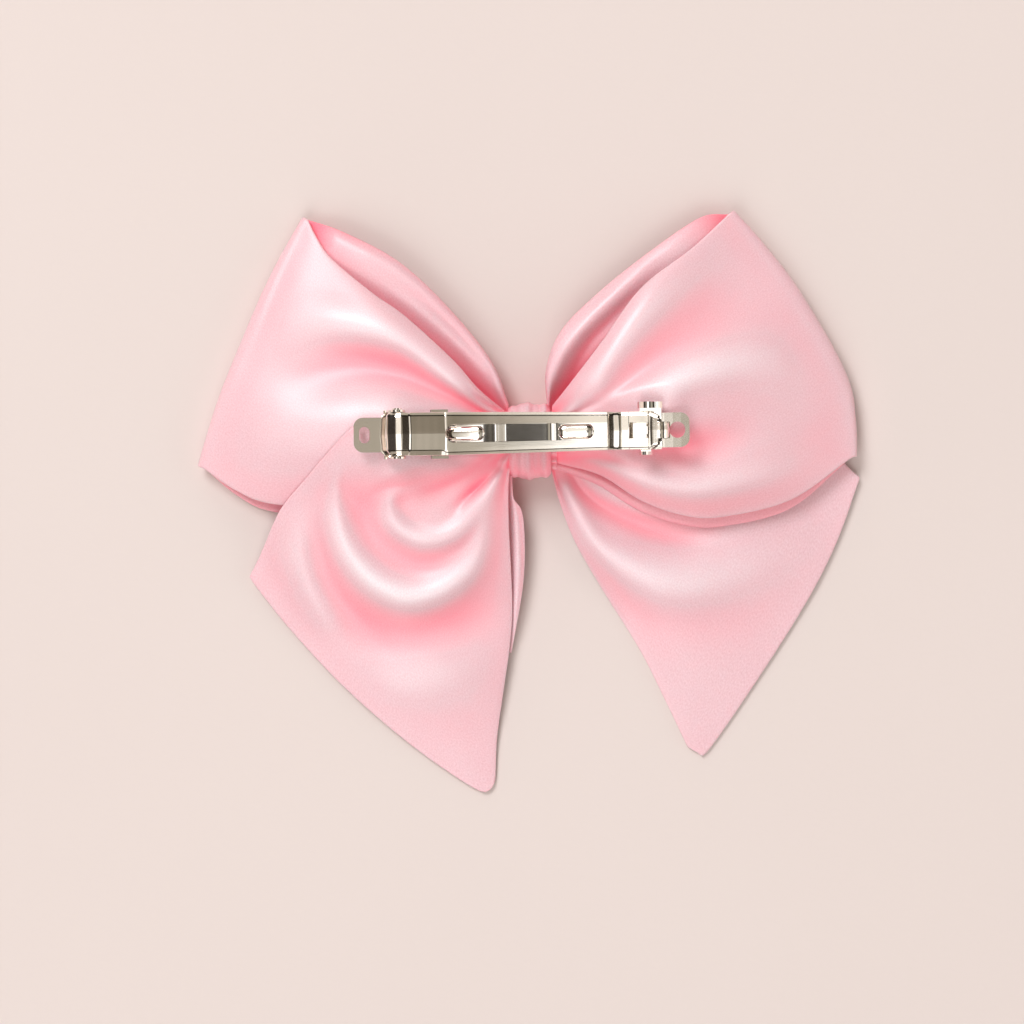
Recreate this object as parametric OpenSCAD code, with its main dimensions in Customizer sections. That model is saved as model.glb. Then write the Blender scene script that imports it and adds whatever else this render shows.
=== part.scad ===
// Satin hair bow on a French barrette, lying on its front with the clip upward.
// +X runs along the clip from the hinge to the catch, +Y is towards the loops' tips and +Z is up.
// The clip is drawn flat in (s, h): s along the plate and h above its inner face, then curved by bend().

/* [Base plate] */
// Length of the plate, end to end
plate_l = 80; // [79:0.5:81]
// Width of the plate under the arm
plate_w = 9; // [8.6:0.1:9.2]
// Width of the two end tabs
tab_w = 8.2; // [7.8:0.1:8.6]
// Thickness of the plate's steel
plate_t = 0.6; // [0.5:0.05:0.7]
// Radius that the plate is curved to, so that it follows the head
bend_r = 150; // [130:5:200]
// Radius of the round sewing hole
hole_r = 1.9; // [1.5:0.1:2]

/* [Arm] */
// Width of the arm at the hinge
arm_w = 10.2; // [10:0.1:10.2]
// Width of the arm before the catch
arm_w_tip = 9; // [8.8:0.1:9]
// Thickness of the arm's steel
arm_t = 0.5; // [0.4:0.05:0.5]
// Width of the arm's long window
window_w = 4.5; // [4.4:0.1:4.8]
// Radius of the hinge pin
pin_r = 0.7; // [0.6:0.05:0.75]

/* [Leaf spring] */
// Width of the spring leaf
leaf_w = 4; // [3.6:0.1:4.2]
// Thickness of the spring leaf
leaf_t = 0.35; // [0.3:0.05:0.4]

/* [Bow] */
// Width of the centre wrap, along the clip
wrap_w = 9.6; // [9:0.2:10]
// Height of the centre wrap, across the clip
wrap_h = 18.8; // [18:0.2:19]
// Depth of the centre wrap, front to back
wrap_d = 15; // [14.9:0.1:15.1]
// Thickness of the doubled satin of the wrap
wrap_t = 1; // [0.8:0.1:1.2]
// Thickness of the turns of thread under the wrap
thread_t = 0.6; // [0.4:0.1:0.6]

/* [Hidden] */
$fn = 48;
over = 0.5;                      // how far a cutter runs past what it cuts

clip_x = -1.9;                   // middle of the clip
clip_y = 16.3;
glue_t = 1;                      // glue between the wrap and the plate
clip_z = wrap_d + glue_t + plate_t;
knot_x = 0;                      // middle of the centre wrap
knot_y = 14.5;

hinge_s = -30;                   // hinge axis along the plate
hinge_h = 3.2;                   // and above it
barrel_r = 2.9;                  // outside of the arm's rolled end
ear_gap = 0.15;                  // between the arm's cheek and the ear
ear_t = 0.5;
ear_r = 1.9;
ear_l = 5;
pin_head_r = 1.15;
pin_head_t = 0.4;
pin_clearance = 0.04;            // radial, in the arm's cheeks

arm_h = [4.4, 5.2, 3.9];         // underside of the arm at the window's ends and middle
tip_h = 2.3;                     // underside of the arm at the catch
flange_d = 1.7;                  // depth of the arm's side flanges
window_s = [-18.6, 21.2];        // ends of the long window
step_s = [21.4, 25.6];           // where the arm steps down to the catch
taper_s = 31;                    // where the arm starts to narrow
tip_s = 33;                      // end of the arm's rails
tip_w = 6.6;
catch_s = [25.9, 30.8];          // ends of the catch window
catch_w = 3.8;
tongue_w = 3.9;                  // the curled lip past the rails
tongue_r = 1.9;

root_s = -20.3;                  // middle of the leaf's cross head, where it bends
root_l = 1.8;
root_w = 10.2;
root_h = 0.2;
leaf_flat_s = [-2, 6];           // the leaf is highest between these
leaf_drop_s = 9.5;               // and level again from here to its free end
leaf_end_s = 20.8;
leaf_h = 4.5;                    // underside of the leaf along its middle
leaf_end_h = 3.3;
rib_h = 0.6;                     // how far the ribs stand above the leaf
lug_l = 4;
lug_w = 11.6;
lug_t = 0.6;
lug_h = 1.3;
lug_lip = 1.5;

latch_t = 0.4;                   // sheet of the latch spring
latch_h = 0.12;                  // its gap above the plate, which curves under it
bridge_s = [21.4, 24];
bridge_w = 8.4;
rivet_s = 22.7;
rivet_r = 0.8;
rivet_head_r = 1.3;
rivet_head_t = 0.45;
prong_s = 24.7;                  // where each prong bends
prong_y = 3.2;
prong_w = 1.2;
prong_end_s = 33.4;
hook_s = [28.8, 30.2];
hook_y = [0.9, 1.75];
hook_top_h = 3.3;
finger_s = [28.2, 33.4];         // the upper finger tab; the lower one is smaller
finger_y = [5.2, 6.7];
small_finger_s = [28.4, 30.8];
small_finger_y = [5.0, 5.8];
finger_h = 2.7;                  // height of a finger tab's crest

hole_s = 37.1;                   // round sewing hole near the catch end
slot_s = -37.4;                  // oblong sewing hole near the hinge end
slot_r = 1.25;
slot_reach = 0.7;                // the slot's end centres, each side of the middle
tab_corner_r = 2.2;

// ---------------------------------------------------------------- curved strips

// A point of the flat clip, carried onto its curve, as [x, z].
function bend(s, h) = let (a = s / bend_r * 180 / PI)
    [(bend_r - h) * sin(a), bend_r - (bend_r - h) * cos(a)];
function bend_all(points) = [for (p = points) bend(p[0], p[1])];
function unit(v) = v / norm(v);
// The line's normal at point i, to its left.
function left_of(p, i) = let (d = unit(p[min(i + 1, len(p) - 1)] - p[max(i - 1, 0)])) [-d[1], d[0]];
// A sheet of thickness t that lies on the left of a line, as an outline.
function sheet_outline(p, t) = concat(p, [for (i = [len(p) - 1:-1:0]) p[i] + t * left_of(p, i)]);
function bezier(c, t) = let (r = 1 - t)
    r * r * r * c[0] + 3 * r * r * t * c[1] + 3 * r * t * t * c[2] + t * t * t * c[3];
function smooth(t) = let (c = max(0, min(1, t))) c * c * (3 - 2 * c);
function steps(a, b, n) = [for (i = [0:n]) a + (b - a) * i / n];

// Puts a clip piece drawn in [x, y, z] around the plate's inner face into the bow's frame.
module on_clip() {
    translate([clip_x, clip_y, clip_z]) children();
}

// Extrudes an [x, z] outline across the clip, from y = -w / 2 to w / 2.
module across(w) {
    rotate([90, 0, 0]) linear_extrude(w, center = true) children();
}

// Places children at (s, h) on the curved plate, turned with it.
module at(s, h) {
    p = bend(s, h);
    translate([p[0], 0, p[1]]) rotate([0, -s / bend_r * 180 / PI, 0]) children();
}

// A box on the curved plate: s, y and h from low to high.
module block(s, y, h) {
    at((s[0] + s[1]) / 2, 0) translate([(s[0] - s[1]) / 2, y[0], h[0]])
        cube([s[1] - s[0], y[1] - y[0], h[1] - h[0]]);
}

// A block and its mirror image on the other side of the clip.
module block_pair(s, y, h) {
    block(s, y, h);
    mirror([0, 1, 0]) block(s, y, h);
}

// ---------------------------------------------------------------- base plate

module rounded_plan(s0, s1, w, r) {
    translate([s0 + r, -w / 2]) square([s1 - s0 - 2 * r, w]);
    translate([s0, -w / 2 + r]) square([s1 - s0, w - 2 * r]);
    for (x = [s0 + r, s1 - r], y = [-w / 2 + r, w / 2 - r]) translate([x, y]) circle(r);
}

module plate_plan() {
    rounded_plan(bend(-plate_l / 2, 0)[0], bend(plate_l / 2, 0)[0], tab_w, tab_corner_r);
    translate([-33, -plate_w / 2]) square([66, plate_w]);
    translate([hinge_s - ear_l / 2, -ear_y() - ear_t]) square([ear_l, 2 * (ear_y() + ear_t)]);
    translate([root_s - 1.2, -lug_w / 2]) square([lug_l, lug_w]);
}

function ear_y() = arm_w / 2 + ear_gap;

module ear_2d() {
    hinge = bend(hinge_s, hinge_h);
    difference() {
        union() {
            translate(hinge) circle(ear_r);
            polygon(bend_all([
                [hinge_s - ear_l / 2, -plate_t], [hinge_s + ear_l / 2, -plate_t],
                [hinge_s + ear_r, hinge_h], [hinge_s - ear_r, hinge_h]
            ]));
        }
        translate(hinge) circle(pin_r);
    }
}

module base_plate() {
    top = bend_all([for (s = steps(-plate_l / 2, plate_l / 2, 40)) [s, 0]]);
    bottom = bend_all([for (s = steps(plate_l / 2, -plate_l / 2, 40)) [s, -plate_t]]);
    color("gainsboro") on_clip() difference() {
        union() {
            intersection() {
                across(lug_w + 1) polygon(concat(top, bottom));
                translate([0, 0, -plate_t - over]) linear_extrude(9) plate_plan();
            }
            for (side = [-1, 1]) translate([0, side * (ear_y() + ear_t / 2), 0]) across(ear_t) ear_2d();
            lug = [root_s - 1.2, root_s - 1.2 + lug_l];
            block_pair(lug, [lug_w / 2 - lug_t, lug_w / 2], [-plate_t / 2, lug_h]);
            block_pair(lug, [lug_w / 2 - lug_lip, lug_w / 2], [lug_h - 0.5, lug_h]);
        }
        at(hole_s, 0) cylinder(h = 4, r = hole_r, center = true);
        at(rivet_s, 0) cylinder(h = 4, r = rivet_r, center = true);
        at(slot_s, 0) {
            for (side = [-1, 1])
                translate([0, side * slot_reach, 0]) cylinder(h = 4, r = slot_r, center = true);
            cube([2 * slot_r, 2 * slot_reach, 4], center = true);
        }
    }
}

module hinge_pin() {
    reach = ear_y() + ear_t;
    at_hinge = bend(hinge_s, hinge_h);
    color("silver") on_clip() translate([at_hinge[0], 0, at_hinge[1]]) rotate([90, 0, 0]) {
        cylinder(h = 2 * reach, r = pin_r, center = true);
        translate([0, 0, -reach - pin_head_t]) cylinder(h = pin_head_t, r = pin_head_r);
    }
}

// ---------------------------------------------------------------- clasp arm

barrel_from = 205;               // angles of the rolled end, from its free edge to the ramp
barrel_to = 80;
barrel_in = barrel_r - arm_t;
ramp_from = [hinge_s + barrel_in * cos(barrel_to), hinge_h + barrel_in * sin(barrel_to)];

function web_h(s) =
    bezier([arm_h[0], arm_h[1], arm_h[1], arm_h[2]], (s - window_s[0]) / (step_s[0] - window_s[0]));
// Underside of the arm's flat part, as [s, h].
function under_arm(s) = [s, s < window_s[0]
    ? ramp_from[1] + (arm_h[0] - ramp_from[1]) * smooth((s - ramp_from[0]) / (window_s[0] - ramp_from[0]))
    : s < step_s[0] ? web_h(s)
    : arm_h[2] + (tip_h - arm_h[2]) * smooth((s - step_s[0]) / (step_s[1] - step_s[0]))];

flat_line = concat(
    [for (s = steps(ramp_from[0], window_s[0], 8)) under_arm(s)],
    [for (s = steps(window_s[0] + 2, step_s[0], 16)) under_arm(s)],
    [for (s = steps(step_s[0] + 0.5, step_s[1], 8)) under_arm(s)],
    [for (s = steps(step_s[1] + 1, tip_s, 4)) under_arm(s)]
);
barrel_line = [for (a = [barrel_from:-5:barrel_to + 5])
    [hinge_s + barrel_in * cos(a), hinge_h + barrel_in * sin(a)]];
tongue_line = [for (a = [80:-10:10])
    [tip_s + tongue_r * cos(a), tip_h - tongue_r + tongue_r * sin(a)]];

// Outline of the arm seen from above; inset draws it that much narrower.
module arm_plan(inset) {
    half = arm_w / 2 - inset;
    half_tip = arm_w_tip / 2 - inset;
    end = bend(tip_s, 0)[0];
    polygon([
        [hinge_s - 5, -half], [window_s[0], -half], [step_s[0], -half_tip], [taper_s, -half_tip],
        [end, -tip_w / 2 + inset], [end, tip_w / 2 - inset],
        [taper_s, half_tip], [step_s[0], half_tip], [window_s[0], half], [hinge_s - 5, half]
    ]);
}

module upright(h0 = -2, h1 = 14) {
    translate([0, 0, h0]) linear_extrude(h1 - h0) children();
}

module arm_flanges() {
    hinge = bend(hinge_s, hinge_h);
    lower = [for (s = steps(tip_s, hinge_s, 30)) [s, max(under_arm(s)[1] - flange_d, 1.1)]];
    intersection() {
        across(arm_w + 1) union() {
            translate(hinge) circle(barrel_r - arm_t / 3);
            polygon(bend_all(concat(flat_line, lower)));
        }
        upright() difference() {
            arm_plan(0);
            arm_plan(arm_t);
        }
    }
}

module clasp_arm() {
    hinge = bend(hinge_s, hinge_h);
    color("gainsboro") on_clip() difference() {
        union() {
            intersection() {
                across(arm_w + 1)
                    polygon(sheet_outline(bend_all(concat(barrel_line, flat_line, tongue_line)), arm_t));
                upright() {
                    arm_plan(0);
                    translate([bend(tip_s, 0)[0] - 1, -tongue_w / 2]) square([4, tongue_w]);
                }
            }
            arm_flanges();
        }
        upright() {
            translate([window_s[0] + window_w / 2, 0]) circle(window_w / 2);
            translate([window_s[0] + window_w / 2, -window_w / 2])
                square([window_s[1] - window_s[0] - window_w / 2, window_w]);
            translate([catch_s[0], -catch_w / 2]) square([catch_s[1] - catch_s[0], catch_w]);
        }
        translate([hinge[0], 0, hinge[1]]) rotate([90, 0, 0])
            cylinder(h = arm_w + 2, r = pin_r + pin_clearance, center = true);
    }
}

// ---------------------------------------------------------------- leaf spring

ribs = [[-18.2, -9.1], [8.8, 17.4]]; // ends of the leaf's two raised ribs
rib_w = 2.8;

leaf_from = root_s + root_l / 2;  // where the leaf starts to rise

function under_leaf(s) = [s, s < 0
    ? root_h + (leaf_h - root_h) * smooth((s - leaf_from) / (leaf_flat_s[0] - leaf_from))
    : leaf_h + (leaf_end_h - leaf_h) * smooth((s - leaf_flat_s[1]) / (leaf_drop_s - leaf_flat_s[1]))];

module leaf_spring() {
    line = bend_all([for (s = steps(root_s - root_l / 2, leaf_end_s, 34)) under_leaf(s)]);
    root = [root_s - root_l / 2, leaf_from];
    color("whitesmoke") on_clip() {
        across(leaf_w) polygon(sheet_outline(line, leaf_t));
        block(root, [-root_w / 2, root_w / 2], [root_h, root_h + leaf_t]);
        intersection() {
            across(rib_w + 1) polygon(sheet_outline(line, leaf_t + rib_h));
            upright() for (r = ribs) rounded_plan(r[0], r[1], rib_w, rib_w / 2 - 0.01);
        }
    }
}

// ---------------------------------------------------------------- latch

module latch_bridge() {
    color("silver") on_clip() difference() {
        block(bridge_s, [-bridge_w / 2, bridge_w / 2], [latch_h, latch_h + latch_t]);
        at(rivet_s, 0) cylinder(h = 4, r = rivet_r, center = true);
    }
}

module latch_rivet() {
    color("silver") on_clip() at(rivet_s, 0) {
        translate([0, 0, -plate_t]) cylinder(h = plate_t + latch_h + latch_t, r = rivet_r);
        translate([0, 0, latch_h + latch_t]) cylinder(h = rivet_head_t, r = rivet_head_r);
        translate([0, 0, -plate_t - rivet_head_t - 0.05]) cylinder(h = rivet_head_t, r = rivet_head_r);
        translate([0, 0, -plate_t - 0.1]) cylinder(h = 0.2, r = rivet_r);
    }
}

// A finger tab's arched top, as [s, h].
function finger_line(s, t) = [s[0] + (s[1] - s[0]) * t, finger_h * pow(sin(180 * (0.15 + 0.8 * t)), 0.7)];

// Extrudes an [x, z] outline across the clip, between two values of y.
module between(y) {
    translate([0, (y[0] + y[1]) / 2, 0]) across(y[1] - y[0]) children();
}

// One arm of the latch spring, on the +Y side: its finger tab stands outside and its hook inside.
module release_prong(finger_s, finger_y) {
    sheet = [latch_h, latch_h + latch_t];
    at(prong_s, latch_h) translate([0, prong_y, 0]) cylinder(h = latch_t, r = prong_w / 2);
    block([prong_s, prong_end_s], [prong_y - prong_w / 2, prong_y + prong_w / 2], sheet);
    block(hook_s, [hook_y[0], prong_y], sheet);
    block(hook_s, [hook_y[0], hook_y[0] + latch_t], [latch_h, hook_top_h]);
    block(hook_s, hook_y, [hook_top_h - 0.35, hook_top_h]);
    block(finger_s, [prong_y, finger_y[0] + latch_t], sheet);
    crest = [for (t = steps(0, 1, 14)) finger_line(finger_s, t)];
    foot = [for (t = steps(1, 0, 14)) [finger_line(finger_s, t)[0], latch_h]];
    between([finger_y[0], finger_y[0] + latch_t]) polygon(bend_all(concat(crest, foot)));
    between(finger_y) polygon(sheet_outline(bend_all(crest), latch_t));
}

module release_prong_upper() {
    color("silver") on_clip() release_prong(finger_s, finger_y);
}

module release_prong_lower() {
    color("silver") on_clip() mirror([0, 1, 0]) release_prong(small_finger_s, small_finger_y);
}

// ---------------------------------------------------------------- knot

module knot_core(half_l, w, d, r) {
    translate([knot_x - half_l, knot_y, wrap_d / 2]) rotate([90, 0, 90]) linear_extrude(2 * half_l)
        rounded_plan(-w / 2, w / 2, d, r);
}

module knot_ring(half_l, w, d, t, r) {
    difference() {
        knot_core(half_l, w, d, r);
        knot_core(half_l + over, w - 2 * t, d - 2 * t, r - t);
    }
}

module center_wrap() {
    color("pink") knot_ring(wrap_w / 2, wrap_h, wrap_d, wrap_t, 5);
}

// The turns of thread that gather the cloth, hidden under the wrap.
module gather_thread() {
    color("hotpink")
        knot_ring(0.9, wrap_h - 2 * wrap_t, wrap_d - 2 * wrap_t, thread_t, 4);
}

// The middles of the loops and tails, pressed into one bundle by the thread.
module gathered_middle() {
    t = wrap_t + thread_t;
    color("lightpink") knot_core(wrap_w / 2, wrap_h - 2 * t, wrap_d - 2 * t, 3.4);
}

module glue_pad() {
    color("ivory") translate([knot_x - wrap_w / 2, clip_y - 3.5, wrap_d]) cube([wrap_w, 7, glue_t]);
}

// ---------------------------------------------------------------- satin panels

grid_u = 16;                     // steps from the knot to the outer edge
grid_v = 12;                     // steps across the panel
rim = 0.5;                       // half thickness of a panel at its edges

// A point of the patch between four curves that share their corners: low and high run from the knot
// outward, inner and outer run from low to high.
function coons(low, high, inner, outer, u, v) =
    (1 - v) * bezier(low, u) + v * bezier(high, u) + (1 - u) * bezier(inner, v) + u * bezier(outer, v)
    - (1 - u) * (1 - v) * low[0] - u * (1 - v) * low[3] - (1 - u) * v * high[0] - u * v * high[3];

function straight(a, b) = [a, a + (b - a) / 3, a + (b - a) * 2 / 3, b];

// How far a puffed panel's face stands off its middle surface.
function puff(u, v, swell) =
    rim + swell * pow(sin(180 * max(0, min(1, v))), 0.6) * pow(sin(180 * (0.08 + 0.9 * u)), 0.7);

// A puffed panel with closed rims. mid holds three heights of its middle surface, at the knot, half
// way and at the outer edge; swell is how far it stands out below and above that. Its low side can
// lie on something lift high. With room it is that much larger and runs on upward, as a cutter.
module panel(low, high, outer, mid, swell, lift = 0, room = 0) {
    inner = straight(low[0], high[0]);
    function height(u) = bezier([mid[0], mid[1], mid[1], mid[2]], u);
    function face(u, v, side) = height(u) + side * (puff(u, v, swell[side < 0 ? 0 : 1]) + room);
    function at_uv(i, j, side) = let (
        u = i / grid_u, v = j / grid_v, spread = room / 20,
        p = coons(low, high, inner, outer, u * (1 + spread), v * (1 + 2 * spread) - spread),
        floor_z = lift * (1 - smooth((v - 0.42) / 0.2))
    ) [p[0], p[1], room > 0 && side > 0 ? 40 : max(face(u, v, side), floor_z + (side < 0 ? 0 : 2 * rim))];
    row = grid_v + 1;
    layer = row * (grid_u + 1);
    points = [for (side = [-1, 1], i = [0:grid_u], j = [0:grid_v]) at_uv(i, j, side)];
    bottom = [for (i = [0:grid_u - 1], j = [0:grid_v - 1]) let (a = i * row + j)
        each [[a, a + 1, a + row], [a + 1, a + row + 1, a + row]]];
    top = [for (f = bottom) [f[0] + layer, f[2] + layer, f[1] + layer]];
    walls = concat(
        [for (i = [0:grid_u - 1]) let (a = i * row)
            each [[a, a + row, a + layer], [a + row, a + row + layer, a + layer]]],
        [for (i = [0:grid_u - 1]) let (a = i * row + grid_v)
            each [[a + row, a, a + layer], [a + row, a + layer, a + row + layer]]],
        [for (j = [0:grid_v - 1]) let (a = j)
            each [[a + 1, a, a + layer], [a + 1, a + layer, a + 1 + layer]]],
        [for (j = [0:grid_v - 1]) let (a = grid_u * row + j)
            each [[a, a + 1, a + layer], [a + 1, a + 1 + layer, a + layer]]]
    );
    polyhedron(points, concat(bottom, top, walls), convexity = 6);
}

neck_x = wrap_w / 2;             // the panels end against the gathered middle
gap = 0.35;                      // kept between panels that lie on each other

module left_tail_panel(room = 0) {
    panel([[-neck_x, 7], [-neck_x - 0.6, -6], [3, -30], [-10.5, -70]],
        [[-neck_x, 19.5], [-36, 27], [-58, 10], [-68.5, -17]],
        [[-10.5, -70], [-30, -60], [-50, -42], [-68.5, -17]], [11.3, 13, 0.6], [1, 1.4], room = room);
}

module left_loop() {
    color("lightpink") difference() {
        panel([[-neck_x, 8], [-24, -5], [-60, -6], [-80, 9]],
            [[-neck_x, 21.5], [-10, 38], [-25, 56], [-53, 70.5]],
            [[-80, 9], [-72, 29], [-64, 48], [-53, 70.5]], [6.2, 7, 4.5], [7, 6.8]);
        left_tail_panel(gap);
    }
}

module right_loop() {
    color("lightpink") panel([[neck_x, 8], [24, -6], [46, -12], [79, 9.5]],
        [[neck_x, 21.5], [neck_x, 38], [20, 56], [50, 70.5]],
        [[79, 9.5], [76, 33], [64, 51], [50, 70.5]], [7.6, 8, 5], [8, 8.4], lift = 5.4);
}

module left_tail() {
    color("pink") left_tail_panel();
}

module right_tail() {
    color("pink") panel([[neck_x, 7.5], [10, -12], [27, -36], [37.5, -61]],
        [[neck_x, 12], [30, 10], [60, 12], [80, 5]],
        [[37.5, -61], [54, -46], [70, -20], [80, 5]], [3.4, 2.8, 0.6], [1, 1]);
}

base_plate();
hinge_pin();
clasp_arm();
leaf_spring();
latch_bridge();
latch_rivet();
release_prong_upper();
release_prong_lower();
glue_pad();
center_wrap();
gather_thread();
gathered_middle();
left_loop();
right_loop();
left_tail();
right_tail();
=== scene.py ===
import math

import bpy
import numpy as np
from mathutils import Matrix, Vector
from mathutils.bvhtree import BVHTree


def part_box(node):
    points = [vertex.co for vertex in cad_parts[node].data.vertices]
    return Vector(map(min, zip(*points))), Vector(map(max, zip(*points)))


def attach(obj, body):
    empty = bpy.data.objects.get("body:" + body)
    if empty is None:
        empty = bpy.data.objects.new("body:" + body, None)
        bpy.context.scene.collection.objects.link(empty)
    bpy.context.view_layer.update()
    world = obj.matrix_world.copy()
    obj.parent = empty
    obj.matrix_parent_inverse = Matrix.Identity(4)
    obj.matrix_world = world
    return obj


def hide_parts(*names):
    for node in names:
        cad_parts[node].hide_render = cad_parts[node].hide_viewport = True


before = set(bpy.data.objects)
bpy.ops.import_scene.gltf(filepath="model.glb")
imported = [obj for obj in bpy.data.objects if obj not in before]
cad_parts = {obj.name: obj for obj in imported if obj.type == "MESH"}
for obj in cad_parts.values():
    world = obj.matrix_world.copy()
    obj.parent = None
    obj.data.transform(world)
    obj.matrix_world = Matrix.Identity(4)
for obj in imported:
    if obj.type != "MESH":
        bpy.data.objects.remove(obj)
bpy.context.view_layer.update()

# ---------------------------------------------------------------- camera, table and light
# The bow lies on its front on a sheet of pale paper, and is seen from straight above. A pale wall
# stands round the table, seen only directly. A large soft box at the upper left is the main light, a
# card at the front bounces some back, and the room's walls show in the metal.
lens_at = (-0.00448, -0.0024, 0.75)
camera = bpy.data.objects.new("camera", bpy.data.cameras.new("camera"))
bpy.context.scene.collection.objects.link(camera)
camera.location = lens_at
camera.rotation_euler = (0, 0, math.radians(-1))
camera.data.lens = 108.8
camera.data.sensor_width = 36
camera.data.clip_start = 0.01
bpy.context.scene.camera = camera


class Field:
    """A shader value: sums and products of fields add Math nodes."""

    def __init__(self, tree, socket=None):
        self.tree, self.socket = tree, socket

    def node(self, kind, inputs=None, output=0, **settings):
        made = self.tree.nodes.new(kind)
        stops = settings.pop("stops", None)
        for name, value in settings.items():
            setattr(made, name, value)
        if stops:
            ramp = made.color_ramp.elements
            while len(ramp) < len(stops):
                ramp.new(0.5)
            for element, (position, colour) in zip(ramp, stops):
                element.position, element.color = position, colour
        for name, value in (inputs or {}).items():
            if isinstance(value, Field):
                self.tree.links.new(value.socket, made.inputs[name])
            else:
                made.inputs[name].default_value = value
        return Field(self.tree, made.outputs[output])

    def maths(self, operation, a, b=0.0):
        return self.node("ShaderNodeMath", {0: a, 1: b}, operation=operation)

    def __add__(self, other):
        return self.maths("ADD", self, other)

    def __sub__(self, other):
        return self.maths("SUBTRACT", self, other)

    def __mul__(self, other):
        return self.maths("MULTIPLY", self, other)

    __radd__, __rmul__ = __add__, __mul__

    def blend(self, a, b):
        """Colour a where the field is 0 and colour b where it is 1."""
        return self.node("ShaderNodeMix", {0: self, 6: a, 7: b}, 2, data_type="RGBA")


def finish_of(name, **constants):
    """A new material, with its Principled node's constants set; feed() links what varies."""
    made = bpy.data.materials.new(name)
    made.use_nodes = True
    shader = made.node_tree.nodes["Principled BSDF"]
    for socket, value in constants.items():
        shader.inputs[socket.replace("_", " ")].default_value = value
    return made, Field(made.node_tree), shader


def feed(field, shader, socket):
    """Links a field to a shader's input."""
    field.tree.links.new(field.socket, shader.inputs[socket])


def paper_finish():
    """Pale uncoated paper with a faint fibre relief."""
    made, field, shader = finish_of("paper", Roughness=0.85)
    place = field.node("ShaderNodeNewGeometry")
    fibre = field.node("ShaderNodeTexNoise", {"Vector": place, "Scale": 700, "Detail": 6})
    cloud = field.node("ShaderNodeTexNoise", {"Vector": place, "Scale": 6, "Detail": 2})
    feed(cloud.blend((0.70, 0.615, 0.59, 1), (0.73, 0.645, 0.62, 1)), shader, "Base Color")
    relief = field.node("ShaderNodeBump", {"Strength": 0.12, "Distance": 0.0004, "Height": fibre})
    feed(relief, shader, "Normal")
    return made


def mesh_piece(name, points, faces, finish):
    """A smooth-shaded mesh object with one material, from points in metres."""
    made = bpy.data.meshes.new(name)
    made.from_pydata([tuple(p) for p in points], [], faces)
    made.shade_smooth()
    made.materials.append(finish)
    piece = bpy.data.objects.new(name, made)
    bpy.context.scene.collection.objects.link(piece)
    return piece


half_table = 3
table = mesh_piece(
    "table",
    [(x * half_table, y * half_table, 0) for x, y in ((-1, -1), (1, -1), (1, 1), (-1, 1))],
    [(0, 1, 2, 3)],
    paper_finish(),
)
backdrop_far = 2.9
backdrop_high = 3
backdrop_finish = finish_of(
    "backdrop",
    Base_Color=(0, 0, 0, 1),
    Roughness=1.0,
    Emission_Color=(0.84, 0.75, 0.72, 1),
    Emission_Strength=1.0,
)[0]
panels = 48
compass = [math.tau * k / panels for k in range(panels)]
backdrop = mesh_piece(
    "backdrop",
    [
        (backdrop_far * math.cos(a), backdrop_far * math.sin(a), z)
        for z in (0, backdrop_high)
        for a in compass
    ],
    [
        (k, (k + 1) % panels, panels + (k + 1) % panels, panels + k)
        for k in range(panels)
    ],
    backdrop_finish,
)
for ray in ("diffuse", "glossy", "transmission", "shadow"):
    setattr(backdrop, "visible_" + ray, False)


def soft_box(name, place, aim, size, power, colour):
    """A square area lamp at a place, turned towards its aim."""
    lamp = bpy.data.lights.new(name, "AREA")
    lamp.shape, lamp.size, lamp.energy, lamp.color = "SQUARE", size, power, colour
    box = bpy.data.objects.new(name, lamp)
    box.location = place
    box.rotation_euler = (Vector(aim) - Vector(place)).to_track_quat("-Z", "Y").to_euler()
    bpy.context.scene.collection.objects.link(box)
    return box


soft_box("window_light", (-1.0, 1.45, 2.2), (0, 0, 0), 1.1, 50, (1, 0.985, 0.985))
bounce = soft_box("bounce_card", (-0.5, -1.5, 1.9), (0, 0, 0), 1.6, 19, (1, 0.985, 0.97))
bounce.visible_glossy = False
bpy.context.scene.view_settings.view_transform = "Standard"
room = bpy.data.worlds.new("room")
room.use_nodes = True
bpy.context.scene.world = room
light = Field(room.node_tree)
way = light.node("ShaderNodeTexCoord")
sideways, lengthways, upward = (light.node("ShaderNodeSeparateXYZ", {0: way}, k) for k in range(3))
dark = (0.06, 0.05, 0.04, 1)
across_room = light.node(
    "ShaderNodeValToRGB",
    {0: sideways * 0.5 + 0.5},
    stops=[
        (0.0, (1, 0.82, 0.74, 1)),
        (0.05, (0.95, 0.78, 0.7, 1)),
        (0.09, (0.05, 0.04, 0.035, 1)),
        (0.22, (0.06, 0.05, 0.045, 1)),
        (0.245, (0.42, 0.385, 0.33, 1)),
        (0.29, (0.46, 0.42, 0.36, 1)),
        (0.33, (1.6, 1.6, 1.58, 1)),
        (0.47, (1.6, 1.59, 1.56, 1)),
        (0.52, (0.5, 0.465, 0.4, 1)),
        (0.62, (0.36, 0.335, 0.28, 1)),
        (0.74, (0.46, 0.42, 0.36, 1)),
        (0.775, dark),
        (0.86, dark),
        (0.9, (1.5, 1.5, 1.48, 1)),
        (0.95, (1.3, 1.25, 1.2, 1)),
        (1.0, (1, 0.82, 0.74, 1)),
    ],
)
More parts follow.
